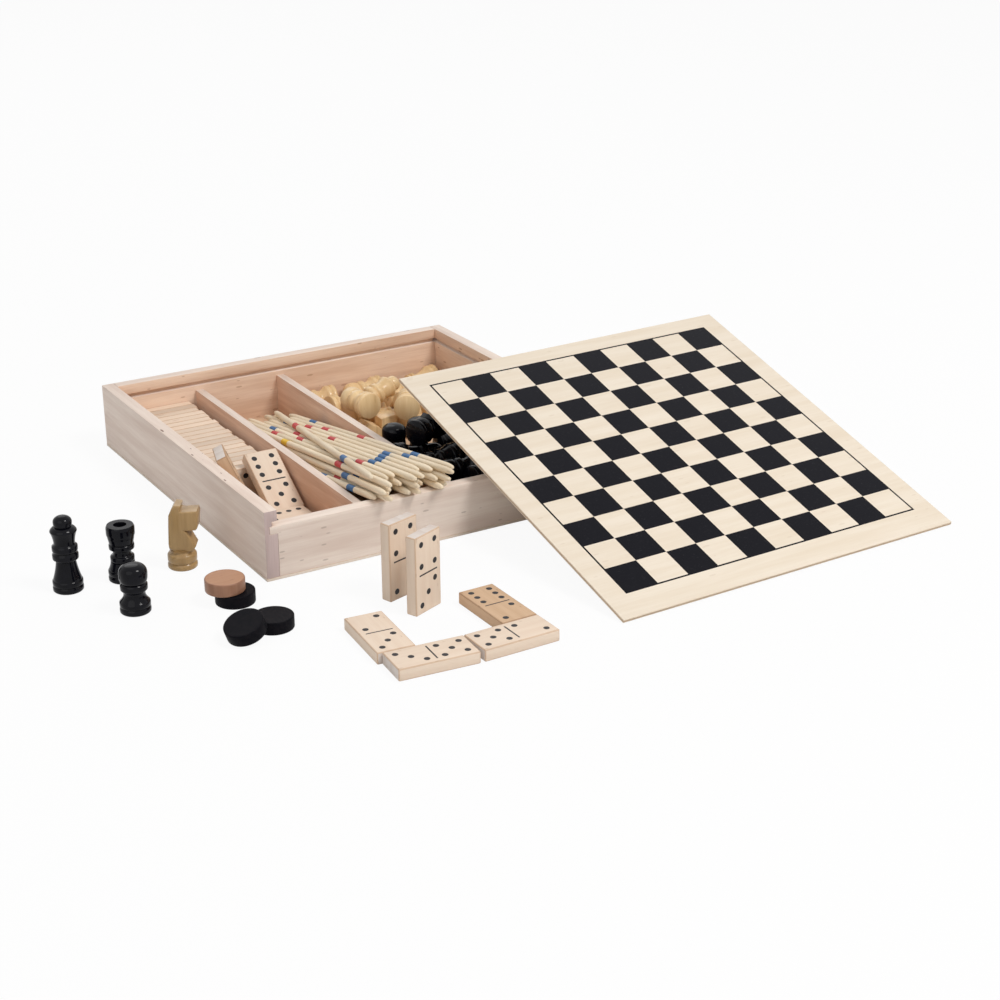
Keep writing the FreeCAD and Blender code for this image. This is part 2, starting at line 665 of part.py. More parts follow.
# The other men lie heaped in the right bay. The lower ones lie in rows, naturals on the floor from the back wall
# and blacks on the draughts from the front wall. Each man has the gap before it in its row, whether its head is
# to the left, and how far it is turned out of the row
NATURAL_ROWS = (
    ((4.0, "pawn", True, -4.0), (7.5, "pawn", True, 2.0), (7.8, "bishop", True, 3.0)),
    ((17.0, "pawn", False, 7.0), (15.4, "rook", True, -3.0)),
    ((22.0, "pawn", False, 6.0), (9.4, "king", False, 1.0)),
    ((30.0, "rook", True, -5.0), (5.8, "pawn", False, 3.0)),
    ((3.0, "knight", False, -2.0), (3.8, "bishop", False, -2.0), (4.4, "pawn", True, 0.0)),
)
BLACK_ROWS = (
    ((5.0, "pawn", False, 0.0), (5.4, "knight", True, 2.0)),
    ((24.0, "pawn", False, 5.0),),
    ((14.0, "pawn", True, -4.0),),
    ((6.0, "rook", True, 4.0), (5.8, "pawn", False, 5.0)),
    ((4.0, "bishop", False, 3.0), (6.6, "pawn", True, -3.0)),
)
ROW_SLACK = 1.8
row_step = 2 * foot_radius + ROW_SLACK


def laid_men(rows, wall_y, way, level):
    """The lower men of one colour, row by row away from a wall: what a row can't hold goes into a row above."""
    men = []
    last_row = len(rows) - 1
    rows = list(enumerate(rows))
    while rows:
        overflow = []
        for row, row_men in rows:
            cursor = 0.0
            y = wall_y + way * (row + 0.5) * row_step
            for gap, name, head_left, sway in row_men:
                end = cursor + gap + man_height[name]
                if end > right_bay_width and cursor > 0:
                    overflow.append((last_row - len(overflow), ((rest_gap, name, head_left, sway),)))
                    continue
                x = bay_start + cursor + gap + man_height[name] / 2
                men.append((name, lying_man(name, x, y, level, 180.0 * head_left + sway)))
                cursor = end
        rows = overflow
        level += row_step
    return men


natural_men = laid_men(NATURAL_ROWS, back_inner, -1, floor)
black_men = laid_men(BLACK_ROWS, front_inner, 1, floor + disc_rise)


def placed_shape(name, placement):
    """A man's or a draught's shape where it lies."""
    shape = (draught if name == "draught" else MEN[name]).Shape.copy()
    shape.Placement = placement
    return shape


STEPS_DOWN = 9


def let_down(name, spot, turn, rise):
    """Let a man down at a spot until it all but touches what lies there. A man without a turn stands."""
    resting = [placed_shape(*item) for item in natural_men + black_men]
    resting += [placed_shape("draught", placement) for placement in natural_discs + black_discs]

    def at(level):
        if turn is None:
            return upright_man(FreeCAD.Vector(spot[0], spot[1], level))
        return lying_man(name, spot[0], spot[1], level, turn, rise)

    def clear(level):
        shape = placed_shape(name, at(level))
        near = [other for other in resting if other.BoundBox.intersect(shape.BoundBox)]
        return all(shape.distToShape(other)[0] > rest_gap for other in near)

    if clear(floor):
        return at(floor)
    low = floor
    high = floor + 6 * row_step
    for step in range(STEPS_DOWN):
        level = (low + high) / 2
        low, high = (low, level) if clear(level) else (level, high)
    return at(high)


# Black men stand and lie between the two lots and on the lower blacks, and natural ones lie on the lower
# naturals: man, share of the bay's width, place from the middle or from the back wall, turn and rise
BLACK_UPPER = (
    ("pawn", 0.148, -7.4, None, 0.0),
    ("pawn", 0.308, -5.6, None, 0.0),
    ("king", 0.597, -13.6, 0.0, 0.0),
    ("knight", 0.300, -28.0, 20.0, 0.0),
    ("bishop", 0.640, -31.0, 172.0, 0.0),
)
NATURAL_UPPER = (
    ("queen", 0.315, -55.6, 14.0, 16.0),
    ("pawn", 0.120, -76.8, 95.0, 0.0),
    ("pawn", 0.408, -80.8, 58.0, 0.0),
)
for name, share, y, turn, rise in BLACK_UPPER:
    black_men.append((name, let_down(name, (bay_start + share * right_bay_width, y), turn, rise)))
for name, share, y, turn, rise in NATURAL_UPPER:
    natural_men.append((name, let_down(name, (bay_start + share * right_bay_width, back_inner + y), turn, rise)))

for colour, men in (("natural", natural_men), ("black", black_men)):
    for name in MEN:
        placements = [placement for man, placement in men if man == name]
        plural = "s" if len(placements) > 1 else ""
        if placements:
            group(f"{colour}_{name}{plural}_in_box", MEN[name], placements)

# Check every piece, then write one file for each node
doc.recompute()
for piece in doc.Objects:
    if {"Invalid", "Error"} & set(piece.State):
        raise RuntimeError(f"{piece.Name} failed: {piece.State}")
for node in nodes:
    if node.Shape.isNull() or not node.Shape.isValid():
        raise RuntimeError(f"{node.Label} has no valid shape")
os.makedirs("parts", exist_ok=True)
for node in nodes:
    node.Shape.exportStep(f"parts/{node.Label}.step")
print(len(nodes), "nodes,", sum(len(node.Shape.Solids) for node in nodes), "solids")
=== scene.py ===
"""Looks of the games compendium box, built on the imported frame.

Every piece is modelled in its own millimetre frame and set where its CAD solid lies. The place and the turn
of each loose piece are read from the solid, so this script repeats no positions.
"""

import bmesh
import bpy
import json
import math
import numpy as np
from mathutils import Matrix, Vector


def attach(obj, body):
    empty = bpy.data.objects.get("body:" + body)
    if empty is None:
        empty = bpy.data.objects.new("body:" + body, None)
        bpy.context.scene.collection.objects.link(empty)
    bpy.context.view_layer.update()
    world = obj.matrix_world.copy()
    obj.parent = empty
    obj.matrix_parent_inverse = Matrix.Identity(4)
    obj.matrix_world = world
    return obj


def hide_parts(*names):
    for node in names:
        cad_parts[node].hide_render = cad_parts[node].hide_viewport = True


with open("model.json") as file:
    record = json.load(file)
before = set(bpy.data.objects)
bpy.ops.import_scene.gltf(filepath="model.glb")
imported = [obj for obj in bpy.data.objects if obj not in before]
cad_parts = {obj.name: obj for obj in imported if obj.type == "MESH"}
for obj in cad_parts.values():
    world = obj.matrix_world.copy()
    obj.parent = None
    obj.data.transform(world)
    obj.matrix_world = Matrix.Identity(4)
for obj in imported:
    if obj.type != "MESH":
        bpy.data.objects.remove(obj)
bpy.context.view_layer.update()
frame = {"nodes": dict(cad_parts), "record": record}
nodes = frame["nodes"]
record = frame["record"]
body_of_node = {node: body for body, members in record["behaviour"]["bodies"].items() for node in members}

MM = 0.001
from_millimetres = Matrix.Scale(MM, 4)
to_millimetres = Matrix.Scale(1 / MM, 4)
UP = Vector((0, 0, 1))
FRONT = Vector((0, -1, 0))
BACK = Vector((0, 1, 0))
LEFT = Vector((-1, 0, 0))
RIGHT = Vector((1, 0, 0))


# Reading places from the CAD solids

MERGE_DIGITS = 4
ORDER_DIGITS = 2
SMALLEST_TRIANGLE = 1e-6
SAME_WAY = 0.9995
SAME_PLANE = 0.03
ROUND_ALLOWANCE = 0.12


def solids_of(node):
    """Points (mm) and triangles of each separate solid of a node."""
    mesh = nodes[node].data
    mesh.calc_loop_triangles()
    points = np.array([vertex.co for vertex in mesh.vertices]) / MM
    keys, merged = np.unique(np.round(points, MERGE_DIGITS), axis=0, return_inverse=True)
    merged = merged.reshape(-1)
    triangles = merged[np.array([triangle.vertices[:] for triangle in mesh.loop_triangles])]
    leader = list(range(len(keys)))

    def find(item):
        while leader[item] != item:
            leader[item] = leader[leader[item]]
            item = leader[item]
        return item

    for a, b, c in triangles:
        root = find(a)
        leader[find(b)] = root
        leader[find(c)] = root
    groups = {}
    for triangle in triangles:
        groups.setdefault(find(triangle[0]), []).append(triangle)
    solids = []
    for group in groups.values():
        used, local = np.unique(np.array(group), return_inverse=True)
        solids.append((keys[used], local.reshape(-1, 3)))
    return sorted(solids, key=lambda solid: tuple(np.round(solid[0].mean(axis=0), ORDER_DIGITS)))


def reach_along(points, axis):
    """Length of a solid along an axis."""
    return float(np.ptp(points @ np.array(axis)))


def middle_along(points, axis):
    """Middle of a solid's stretch along an axis."""
    values = points @ np.array(axis)
    return float((values.max() + values.min()) / 2)


def main_axes(points):
    """Middle and axes of a solid, longest first."""
    offsets = points - points.mean(axis=0)
    axes = np.linalg.eigh(offsets.T @ offsets)[1].T[::-1]
    along = offsets @ axes.T
    shift = (along.max(axis=0) + along.min(axis=0)) / 2
    return points.mean(axis=0) + shift @ axes, [Vector(axis) for axis in axes]


def placed(origin, x_axis, y_axis, z_axis, unit=MM):
    """Matrix of a piece's own frame, which is in millimetres unless another unit is given."""
    matrix = Matrix.Identity(4)
    for column, axis in enumerate((x_axis, y_axis, z_axis)):
        for row in range(3):
            matrix[row][column] = axis[row] * unit
    for row in range(3):
        matrix[row][3] = origin[row] * unit
    return matrix


def upright_matrix(origin, axis):
    """Matrix, in millimetres, that stands a turned solid on a point along an axis."""
    side_way = axis.orthogonal().normalized()
    return to_millimetres @ placed(origin, side_way, axis.cross(side_way), axis)


def flat_faces(points, triangles, count=12, tries_each=4):
    """The largest flat patches of a solid: area, middle, normal and points, largest first."""
    corners = points[triangles]
    crosses = np.cross(corners[:, 1] - corners[:, 0], corners[:, 2] - corners[:, 0])
    areas = np.linalg.norm(crosses, axis=1) / 2
    kept = areas > SMALLEST_TRIANGLE
    corners = corners[kept]
    areas = areas[kept]
    normals = crosses[kept] / areas[:, None] / 2
    offsets = np.einsum("ij,ij->i", corners[:, 0], normals)
    left = np.ones(len(areas), bool)
    faces = []
    while left.any() and len(faces) < tries_each * count:
        lead = int(np.argmax(np.where(left, areas, 0)))
        level = abs(offsets - offsets[lead]) < SAME_PLANE
        patch = left & (normals @ normals[lead] > SAME_WAY) & level
        left &= ~patch
        area = areas[patch].sum()
        middle = (areas[patch, None] * corners[patch].mean(axis=1)).sum(axis=0) / area
        faces.append((area, middle, normals[lead], corners[patch].reshape(-1, 3)))
    return sorted(faces, key=lambda face: -face[0])[:count]


def foot_disc(points, triangles):
    """Middle and outward normal of the largest round flat face."""
    for area, middle, normal, rim in flat_faces(points, triangles):
        reach = np.linalg.norm(rim - middle, axis=1).max()
        if abs(math.pi * reach * reach / area - 1) < ROUND_ALLOWANCE:
            return Vector(middle), Vector(normal)
    raise ValueError("no round face")


# Making meshes

# A turned profile ends this near its axis, so that its first and last rings keep a size
AXIS_RADIUS = 0.02


def add_piece(name, node, mesh, matrix, materials):
    """Add a finished piece to the object in place of its CAD node."""
    piece = bpy.data.objects.new(name, mesh)
    bpy.context.scene.collection.objects.link(piece)
    for material in materials:
        mesh.materials.append(material)
    piece.matrix_world = matrix
    bpy.context.view_layer.update()
    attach(piece, body_of_node[node])
    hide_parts(node)


class Sheet:
    """Points and faces of a mesh in the making, in millimetres."""

    def __init__(self):
        self.points = []
        self.faces = []
        self.colours = []

    def add(self, points, faces, colour=0, matrix=None):
        start = len(self.points)
        self.points += [tuple(matrix @ Vector(point)) if matrix else tuple(point) for point in points]
        self.faces += [tuple(start + corner for corner in face) for face in faces]
        self.colours += [colour] * len(faces) if isinstance(colour, int) else list(colour)

    def mesh(self, name, sharp_degrees=35.0):
        mesh = bpy.data.meshes.new(name)
        mesh.from_pydata(self.points, [], self.faces)
        mesh.polygons.foreach_set("material_index", self.colours)
        mesh.shade_smooth()
        mesh.set_sharp_from_angle(angle=math.radians(sharp_degrees))
        mesh.validate()
        mesh.update()
        return mesh


def turned(profile, segments, colours=None):
    """Points, faces and face colours of a turned solid. The profile runs from the bottom to the top."""
    if colours is None:
        colours = [0] * len(profile)
    points = [(0.0, 0.0, profile[0][1])]
    for radius, height in profile:
        for step in range(segments):
            angle = 2 * math.pi * step / segments
            points.append((radius * math.cos(angle), radius * math.sin(angle), height))
    points.append((0.0, 0.0, profile[-1][1]))
    faces = []
    kinds = []
    last = len(points) - 1
    for step in range(segments):
        after = (step + 1) % segments
        faces.append((0, 1 + after, 1 + step))
        kinds.append(colours[0])
    for ring in range(len(profile) - 1):
        low = 1 + ring * segments
        high = low + segments
        for step in range(segments):
            after = (step + 1) % segments
            faces.append((low + step, low + after, high + after, high + step))
            kinds.append(colours[ring])
    top = last - segments
    for step in range(segments):
        after = (step + 1) % segments
        faces.append((last, top + step, top + after))
        kinds.append(colours[-1])
    return points, faces, kinds


def bead(low, high, edge_radius, middle_radius, steps=6):
    """A rounded ring of a turned profile."""
    points = []
    for step in range(steps + 1):
        share = step / steps
        swell = math.sqrt(max(0.0, 1 - (2 * share - 1) ** 4))
        points.append((edge_radius + (middle_radius - edge_radius) * swell, low + share * (high - low)))
    return points


def sweep(start, end, bow, steps=8):
    """A hollow or swelling stretch of a turned profile between two (radius, height) points."""
    points = []
    for step in range(steps + 1):
        share = step / steps
        radius = start[0] + share * (end[0] - start[0]) + bow * 4 * share * (1 - share)
        points.append((radius, start[1] + share * (end[1] - start[1])))
    return points


def crown_of_head(low, high, widest, low_radius, power, steps=16, widest_share=0.45):
    """A barrel or egg shaped head: its height range, its widest radius and its low rim's radius."""
    middle = low + (high - low) * widest_share
    points = []
    for step in range(steps + 1):
        height = low + (high - low) * (1 - math.cos(math.pi * step / steps)) / 2
        if height < middle:
            share = (middle - height) / (middle - low)
            radius = low_radius + (widest - low_radius) * math.sqrt(max(0.0, 1 - share ** power))
        else:
            share = (height - middle) / (high - middle)
            radius = widest * max(0.0, 1 - share ** power) ** (1 / power)
        points.append((max(radius, AXIS_RADIUS), height))
    return points


def grid_parts(grid):
    """Points and faces of a bmesh, which is then freed."""
    grid.verts.index_update()
    points = [tuple(vertex.co) for vertex in grid.verts]
    faces = [tuple(vertex.index for vertex in face.verts) for face in grid.faces]
    grid.free()
    return points, faces


def soft_box(width, depth, height, edge, steps=3):
    """Points and faces of a box with rounded edges, standing on z = 0 round the origin."""
    grid = bmesh.new()
    bmesh.ops.create_cube(grid, size=1.0)
    for vertex in grid.verts:
        vertex.co = Vector((vertex.co.x * width, vertex.co.y * depth, (vertex.co.z + 0.5) * height))
    bmesh.ops.bevel(grid, geom=grid.edges[:], offset=edge, segments=steps, profile=0.5, affect="EDGES")
    return grid_parts(grid)


# Materials

# Waves per millimetre of the wood's patterns, across the grain and along it
GROWTH_WAVES = (0.16, 0.012)
FIBRE_WAVES = (2.2, 0.06)
FLECK_WAVES = (0.30, 0.085)
FLECK_CHANCE = 0.3
FLECK_SIZE = 0.34
FLECK_SOFTNESS = 0.05
FIBRE_SHARE = 0.35
CLOUD_WAVES = 0.35
ISLAND_SHIFTS = (37.0, 53.0, 71.0)
BUMP_DEPTH = 0.0002
WOOD_UNEVENNESS = 0.12
LACQUER_UNEVENNESS = 0.1
LACQUER_BUMP = 0.03
# A millimetre in the coordinates of a piece that is modelled in millimetres
OWN_MM = 1.0


def stretch(along, waves, unit):
    """Texture scales for coordinates in the unit given, with the slow waves along the grain."""
    across_grain, along_grain = waves
    return tuple((along_grain if axis == along else across_grain) / unit for axis in "XYZ")


class Shader:
    """A node material with short ways to add its nodes."""

    def __init__(self, name):
        self.material = bpy.data.materials.new(name)
        self.material.use_nodes = True
        self.tree = self.material.node_tree
        self.tree.nodes.clear()
        self.output = self.node("ShaderNodeOutputMaterial")
        self.surface = self.node("ShaderNodeBsdfPrincipled")
        self.link(self.surface.outputs["BSDF"], self.output.inputs["Surface"])

    def node(self, kind, **settings):
        node = self.tree.nodes.new(kind)
        for name, value in settings.items():
            setattr(node, name, value)
        return node

    def link(self, source, target):
        self.tree.links.new(source, target)

    def put(self, target, value):
        """Set a socket to a value or link it to another socket."""
        if isinstance(value, bpy.types.NodeSocket):
            self.link(value, target)
        else:
            target.default_value = value

    def finish(self, **settings):
        """Set inputs of the surface. An input's name has underscores for its spaces."""
        for name, value in settings.items():
            self.put(self.surface.inputs[name.replace("_", " ")], value)

    def math(self, operation, first, second=0.0, third=0.0):
        node = self.node("ShaderNodeMath", operation=operation)
        for socket, value in zip(node.inputs, (first, second, third)):
            self.put(socket, value)
        return node.outputs[0]

    def mix(self, share, first, second, blend="MIX"):
        node = self.node("ShaderNodeMix", data_type="RGBA", blend_type=blend)
        self.put(node.inputs["Factor"], share)
        for socket, value in ((node.inputs[6], first), (node.inputs[7], second)):
            self.put(socket, value if isinstance(value, bpy.types.NodeSocket) else (*value, 1.0))
        return node.outputs[2]

    def place(self, scale, shift=None):
        """The piece's own coordinates, stretched."""
        coordinates = self.node("ShaderNodeTexCoord").outputs["Object"]
        if shift is not None:
            moved = self.node("ShaderNodeVectorMath", operation="ADD")
            self.link(coordinates, moved.inputs[0])
            self.link(shift, moved.inputs[1])
            coordinates = moved.outputs[0]
        mapping = self.node("ShaderNodeMapping", vector_type="POINT")
        self.link(coordinates, mapping.inputs["Vector"])
        mapping.inputs["Scale"].default_value = scale
        return mapping.outputs["Vector"]

    def noise(self, where, detail, roughness):
        node = self.node("ShaderNodeTexNoise")
        self.link(where, node.inputs["Vector"])
        node.inputs["Scale"].default_value = 1.0
        node.inputs["Detail"].default_value = detail
        node.inputs["Roughness"].default_value = roughness
        return node.outputs["Fac"]

    def flecks(self, along, unit, shift):
        """1 in short spindle-shaped marks that lie here and there along the grain."""
        cells = self.node("ShaderNodeTexVoronoi")
        self.link(self.place(stretch(along, FLECK_WAVES, unit), shift), cells.inputs["Vector"])
        cells.inputs["Scale"].default_value = 1.0
        chance = self.node("ShaderNodeSeparateColor")
        self.link(cells.outputs["Color"], chance.inputs[0])
        reach = self.math("MULTIPLY", self.math("SUBTRACT", chance.outputs[0], FLECK_CHANCE), FLECK_SIZE)
        inside = self.math("SUBTRACT", reach, cells.outputs["Distance"])
        return self.ramp(inside, 0.0, FLECK_SOFTNESS)

    def ramp(self, value, low, high):
        """0 below low and 1 above high, smooth between."""
        node = self.node("ShaderNodeMapRange", interpolation_type="SMOOTHSTEP")
        self.put(node.inputs["Value"], value)
        node.inputs["From Min"].default_value = low
        node.inputs["From Max"].default_value = high
        return node.outputs["Result"]

    def bump(self, height, strength):
        node = self.node("ShaderNodeBump")
        node.inputs["Strength"].default_value = strength
        node.inputs["Distance"].default_value = BUMP_DEPTH
        self.link(height, node.inputs["Height"])
        self.link(node.outputs["Normal"], self.surface.inputs["Normal"])

    def scatter(self):
        """A shift and a number that differ from solid to solid of one piece."""
        island = self.node("ShaderNodeNewGeometry").outputs["Random Per Island"]
        shift = self.node("ShaderNodeCombineXYZ")
        for axis, reach in enumerate(ISLAND_SHIFTS):
            self.link(self.math("MULTIPLY", island, reach), shift.inputs[axis])
        return shift.outputs[0], island


def wood_colour(shader, light, dark, fleck, along, unit, fleck_share, tone):
    """Colour of planed wood: soft growth bands, fine fibres and sparse dark flecks along the grain."""
    shift, island = shader.scatter()
    bands = shader.noise(shader.place(stretch(along, GROWTH_WAVES, unit), shift), 4.0, 0.6)
    fibres = shader.noise(shader.place(stretch(along, FIBRE_WAVES, unit), shift), 3.0, 0.6)
    colour = shader.mix(shader.ramp(bands, 0.3, 0.72), light, dark)
    fibre_marks = shader.math("MULTIPLY", shader.ramp(fibres, 0.42, 0.7), FIBRE_SHARE)
    colour = shader.mix(fibre_marks, colour, dark)
    fleck_marks = shader.math("MULTIPLY", shader.flecks(along, unit, shift), fleck_share)
    colour = shader.mix(fleck_marks, colour, fleck)
    lightness = shader.math("MULTIPLY_ADD", island, tone, 1.0 - tone / 2)
    grey = shader.node("ShaderNodeCombineColor")
    for socket in grey.inputs[:3]:
        shader.link(lightness, socket)
    return shader.mix(1.0, colour, grey.outputs[0], "MULTIPLY"), fibres


def wood(name, light, dark, fleck, along, unit=OWN_MM, roughness=0.6, fleck_share=0.5, coat=0.0, tone=0.1,
         grain_depth=0.08):
    """A wooden finish. The unit is the size of a millimetre in the piece's own coordinates."""
    shader = Shader(name)
    colour, fibres = wood_colour(shader, light, dark, fleck, along, unit, fleck_share, tone)
    uneven = shader.math("MULTIPLY_ADD", fibres, WOOD_UNEVENNESS, roughness - WOOD_UNEVENNESS / 2)
    shader.finish(Base_Color=colour, Roughness=uneven, Specular_IOR_Level=0.2, Coat_Weight=coat,
                  Coat_Roughness=0.12)
    shader.bump(fibres, grain_depth)
    return shader.material


def lacquer(name, colour, second, roughness, specular=0.3):
    """A painted or stained finish with faint unevenness."""
    shader = Shader(name)
    cloud = shader.noise(shader.place((CLOUD_WAVES,) * 3), 3.0, 0.6)
    uneven = shader.math("MULTIPLY_ADD", cloud, LACQUER_UNEVENNESS, roughness - LACQUER_UNEVENNESS / 2)
    shader.finish(Base_Color=shader.mix(shader.ramp(cloud, 0.3, 0.7), colour, second), Roughness=uneven,
                  Specular_IOR_Level=specular)
    shader.bump(cloud, LACQUER_BUMP)
    return shader.material


CASE_FLECK = (0.22, 0.125, 0.095)
# Inside faces of the case: partly the beech's own tone, partly painted warm bounce light from within the
# box, which makes them warmer and more orange
INNER_LIGHT_PAINTED_BOUNCE = (0.90, 0.69, 0.54)
INNER_DARK_PAINTED_BOUNCE = (0.72, 0.49, 0.35)
INNER_FLECK = (0.42, 0.22, 0.12)
side_wood = wood("beech_along_depth", (0.86, 0.74, 0.65), (0.72, 0.58, 0.495), CASE_FLECK, "Y", MM,
                 fleck_share=0.9)
# Front and back walls: the same beech as the side boards but lighter, painted light on the front and back
# walls
cross_wood_painted_light = wood("beech_along_width_painted_light", (0.89, 0.78, 0.69), (0.76, 0.62, 0.535), CASE_FLECK, "X", MM,
                  fleck_share=0.35)
# Inside faces of the side and cross boards, with the painted warm bounce light
inner_side_wood_painted_bounce = wood("beech_inside_depth_painted_bounce", INNER_LIGHT_PAINTED_BOUNCE, INNER_DARK_PAINTED_BOUNCE, INNER_FLECK, "Y", MM, fleck_share=0.6)
inner_cross_wood_painted_bounce = wood("beech_inside_width_painted_bounce", INNER_LIGHT_PAINTED_BOUNCE, INNER_DARK_PAINTED_BOUNCE, INNER_FLECK, "X", MM, fleck_share=0.5)
# Dividers' side faces: a darker, warmer copy of the inside beech, painted shade on both sides
divider_wood_painted_shade = wood("beech_divider_painted_shade", (0.80, 0.575, 0.44), (0.61, 0.385, 0.27), INNER_FLECK, "Y", MM,
                    fleck_share=0.6)
end_wood = wood("beech_end_grain", (0.55, 0.44, 0.42), (0.455, 0.345, 0.325), CASE_FLECK, "Z", MM,
                fleck_share=0.25)
ply_edge = wood("bottom_ply_edge", (0.82, 0.73, 0.64), (0.70, 0.59, 0.49), CASE_FLECK, "X", MM,
                fleck_share=0.2)
# Top of the bottom panel inside the case: partly the ply's own tone, partly painted warm bounce light that
# makes it warmer than its edges
ply_inside_painted_bounce = wood("bottom_ply_inside_painted_bounce", (0.80, 0.60, 0.42), (0.72, 0.50, 0.34), INNER_FLECK, "X", MM,
                  fleck_share=0.3)

TILE_LIGHT = (0.83, 0.69, 0.56)
TILE_DARK = (0.76, 0.60, 0.47)
TILE_FLECK = (0.50, 0.35, 0.24)
tile_wood = wood("domino_beech", TILE_LIGHT, TILE_DARK, TILE_FLECK, "Y", fleck_share=0.4, tone=0.14)
row_wood = wood("domino_row_beech", TILE_LIGHT, TILE_DARK, TILE_FLECK, "X", fleck_share=0.4, tone=0.28)
# Rounded tile edges: darker beech, painted shade that marks the grooves between neighbouring tiles
tile_edge_painted_shade = wood("domino_edge_painted_shade", (0.70, 0.52, 0.38), (0.60, 0.42, 0.29), TILE_FLECK, "Y")
tile_end = wood("domino_end_grain", (0.74, 0.67, 0.62), (0.64, 0.55, 0.49), TILE_FLECK, "Z",
                fleck_share=0.3)
# Darker brown copies of the tile beech: painted shade for the two tiles that lie in shadow, with still
# darker painted shade on their edges
shaded_brown_tile_wood = wood("domino_brown_painted_shade", (0.66, 0.46, 0.30), (0.56, 0.37, 0.23), (0.33, 0.19, 0.11), "Y")
shaded_brown_tile_edge = wood("domino_brown_painted_shade_edge", (0.50, 0.32, 0.20), (0.42, 0.26, 0.16), (0.25, 0.14, 0.08), "Y")
tile_ink = lacquer("pip_ink", (0.014, 0.013, 0.016), (0.028, 0.026, 0.028), 0.5)

stick_wood = wood("stick_wood", (0.88, 0.76, 0.58), (0.77, 0.63, 0.45), (0.55, 0.38, 0.23), "Y",
                  roughness=0.5, fleck_share=0.3, tone=0.12)
stick_blue = lacquer("stick_blue", (0.022, 0.10, 0.27), (0.04, 0.15, 0.33), 0.45)
stick_red = lacquer("stick_red", (0.50, 0.035, 0.045), (0.60, 0.07, 0.07), 0.45)
stick_yellow = lacquer("stick_yellow", (0.82, 0.50, 0.02), (0.88, 0.58, 0.05), 0.45)

natural_gloss = wood("natural_lacquered", (0.85, 0.63, 0.36), (0.71, 0.48, 0.24), (0.46, 0.28, 0.12), "Z",
                     roughness=0.34, fleck_share=0.3, coat=0.25, tone=0.16, grain_depth=0.03)
knight_gloss = wood("knight_lacquered", (0.44, 0.285, 0.125), (0.32, 0.195, 0.08), (0.20, 0.11, 0.045), "Z",
                    roughness=0.36, fleck_share=0.5, coat=0.3, grain_depth=0.05)
black_gloss = lacquer("black_lacquered", (0.003, 0.003, 0.005), (0.005, 0.005, 0.008), 0.10, 0.14)
black_satin = lacquer("black_stained", (0.004, 0.004, 0.006), (0.008, 0.007, 0.009), 0.5, 0.04)
draught_wood = wood("draught_brown", (0.49, 0.26, 0.145), (0.41, 0.20, 0.105), (0.26, 0.11, 0.05), "X",
                    roughness=0.42, fleck_share=0.5, coat=0.08)
draught_rim = wood("draught_brown_rim", (0.36, 0.19, 0.12), (0.28, 0.14, 0.085), (0.20, 0.09, 0.04), "Z",
                   roughness=0.42, fleck_share=0.4, coat=0.08)


# Case: boards with eased edges

# A board's materials are for its outer faces, its ends and its inner faces, in this order
END = 1
INNER = 2
BOARD_EDGE = 0.35
PANEL_EDGE = 0.2
FLAT_DEGREES = 2
BOARD_SHARP_DEGREES = 40
FACING = 0.7


def board_piece(node, materials, length_axis, inner_ways, edge=BOARD_EDGE):
    """A board cut to the CAD solid's own outline, with eased edges."""
    points, triangles = solids_of(node)[0]
    grid = bmesh.new()
    corners = [grid.verts.new(point) for point in points]
    for triangle in triangles:
        grid.faces.new([corners[index] for index in triangle])
    bmesh.ops.recalc_face_normals(grid, faces=grid.faces[:])
    bmesh.ops.dissolve_limit(grid, angle_limit=math.radians(FLAT_DEGREES), verts=grid.verts[:],
                             edges=grid.edges[:])
    bmesh.ops.bevel(grid, geom=grid.edges[:], offset=edge, segments=2, profile=0.5, affect="EDGES")
    mesh = bpy.data.meshes.new(node)
    grid.to_mesh(mesh)
    grid.free()
    mesh.transform(from_millimetres)
    mesh.shade_smooth()
    mesh.set_sharp_from_angle(angle=math.radians(BOARD_SHARP_DEGREES))
    axis = "XYZ".index(length_axis)
    for polygon in mesh.polygons:
        if abs(polygon.normal[axis]) > FACING:
            polygon.material_index = END
        elif any(polygon.normal.dot(way) > FACING for way in inner_ways):
            polygon.material_index = INNER
    add_piece(f"{node}_board", node, mesh, Matrix.Identity(4), materials)


side_materials = [side_wood, end_wood, inner_side_wood_painted_bounce]
cross_materials = [cross_wood_painted_light, end_wood, inner_cross_wood_painted_bounce]
divider_materials = [side_wood, end_wood, divider_wood_painted_shade]
board_piece("left_side", side_materials, "Y", [RIGHT])
board_piece("right_side", side_materials, "Y", [LEFT])
board_piece("back_wall", cross_materials, "X", [FRONT])
board_piece("front_wall", cross_materials, "X", [BACK])
board_piece("bottom_panel", [ply_edge, ply_edge, ply_inside_painted_bounce], "X", [UP], PANEL_EDGE)
board_piece("left_divider", divider_materials, "Y", [LEFT, RIGHT])
board_piece("right_divider", divider_materials, "Y", [LEFT, RIGHT])


# Lid with the printed board

BOARD_SQUARES = 10
BOARD_PITCH = 19.2
FRAME_LINE = 1.1
# How far the print sits above the lid's middle
BOARD_RISE = 2.5
LID_EDGE = 0.25
PRINT_DEPTH = 0.02
WORN_SHARE = 0.45
LID_LIGHT = (0.85, 0.76, 0.64)
LID_DARK = (0.79, 0.685, 0.55)
LID_FLECK = (0.62, 0.50, 0.37)
LID_FLECK_SHARE = 0.25
INK_COLOUR = (0.005, 0.005, 0.008)
INK_WORN = (0.17, 0.17, 0.18)
LAYER_DARK = (0.50, 0.36, 0.25)
LAYER_LIGHT = (0.76, 0.64, 0.50)


